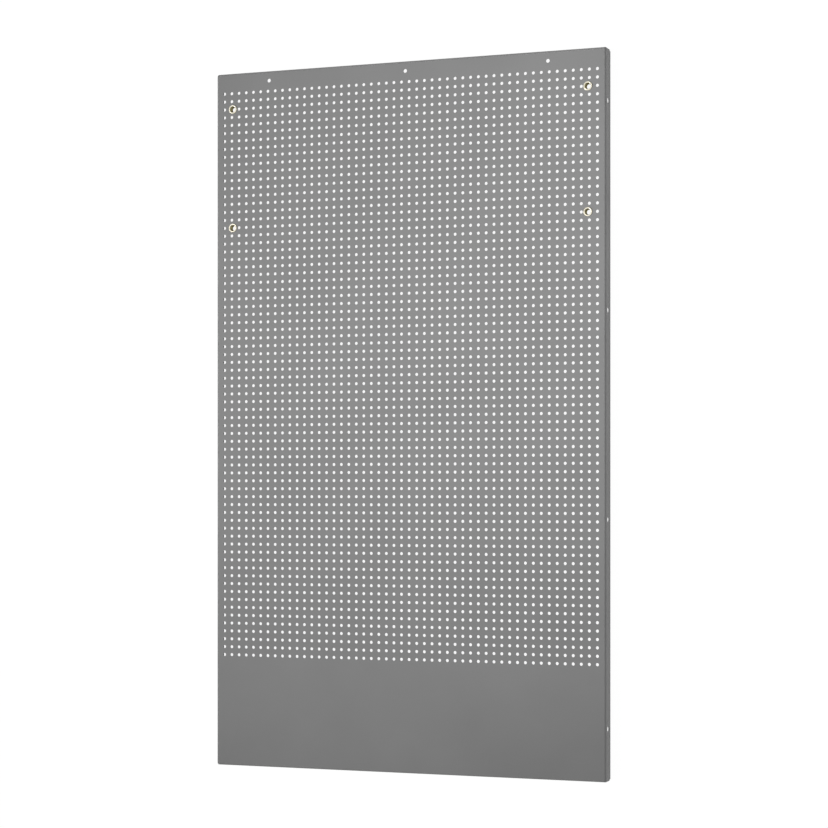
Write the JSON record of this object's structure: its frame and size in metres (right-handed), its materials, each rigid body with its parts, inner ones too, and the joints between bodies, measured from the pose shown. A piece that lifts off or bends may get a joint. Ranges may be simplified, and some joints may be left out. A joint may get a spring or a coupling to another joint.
{
  "type": "perforated pegboard panel",
  "caption": "Grey powder-coated steel pegboard: a sheet with a square grid of round holes, folded into a shallow tray, with screw holes and threaded rivet nuts.",
  "frame": {"origin": "on the floor under the middle of the panel, which lies face up on the back edges of its folds", "axes": "+X to the right across the face, +Y to the panel's top edge, +Z out of the face"},
  "size_m": [0.767, 1.313, 0.0305],
  "materials": {
    "grey_powder_coat": "satin powder coat",
    "yellow_zinc": "yellow-passivated zinc plate"
  },
  "bodies": {
    "root": {"face_band_1": "grey_powder_coat", "face_band_2": "grey_powder_coat", "face_band_3": "grey_powder_coat", "face_band_4": "grey_powder_coat", "face_band_5": "grey_powder_coat", "face_band_6": "grey_powder_coat", "face_band_7": "grey_powder_coat", "face_band_8": "grey_powder_coat", "face_band_9": "grey_powder_coat", "fold_left": "grey_powder_coat", "fold_right": "grey_powder_coat", "fold_top": "grey_powder_coat", "fold_bottom": "grey_powder_coat", "rivet_nut_upper_left": "yellow_zinc", "rivet_nut_upper_right": "yellow_zinc", "rivet_nut_lower_left": "yellow_zinc", "rivet_nut_lower_right": "yellow_zinc"}
  },
  "joints": []
}
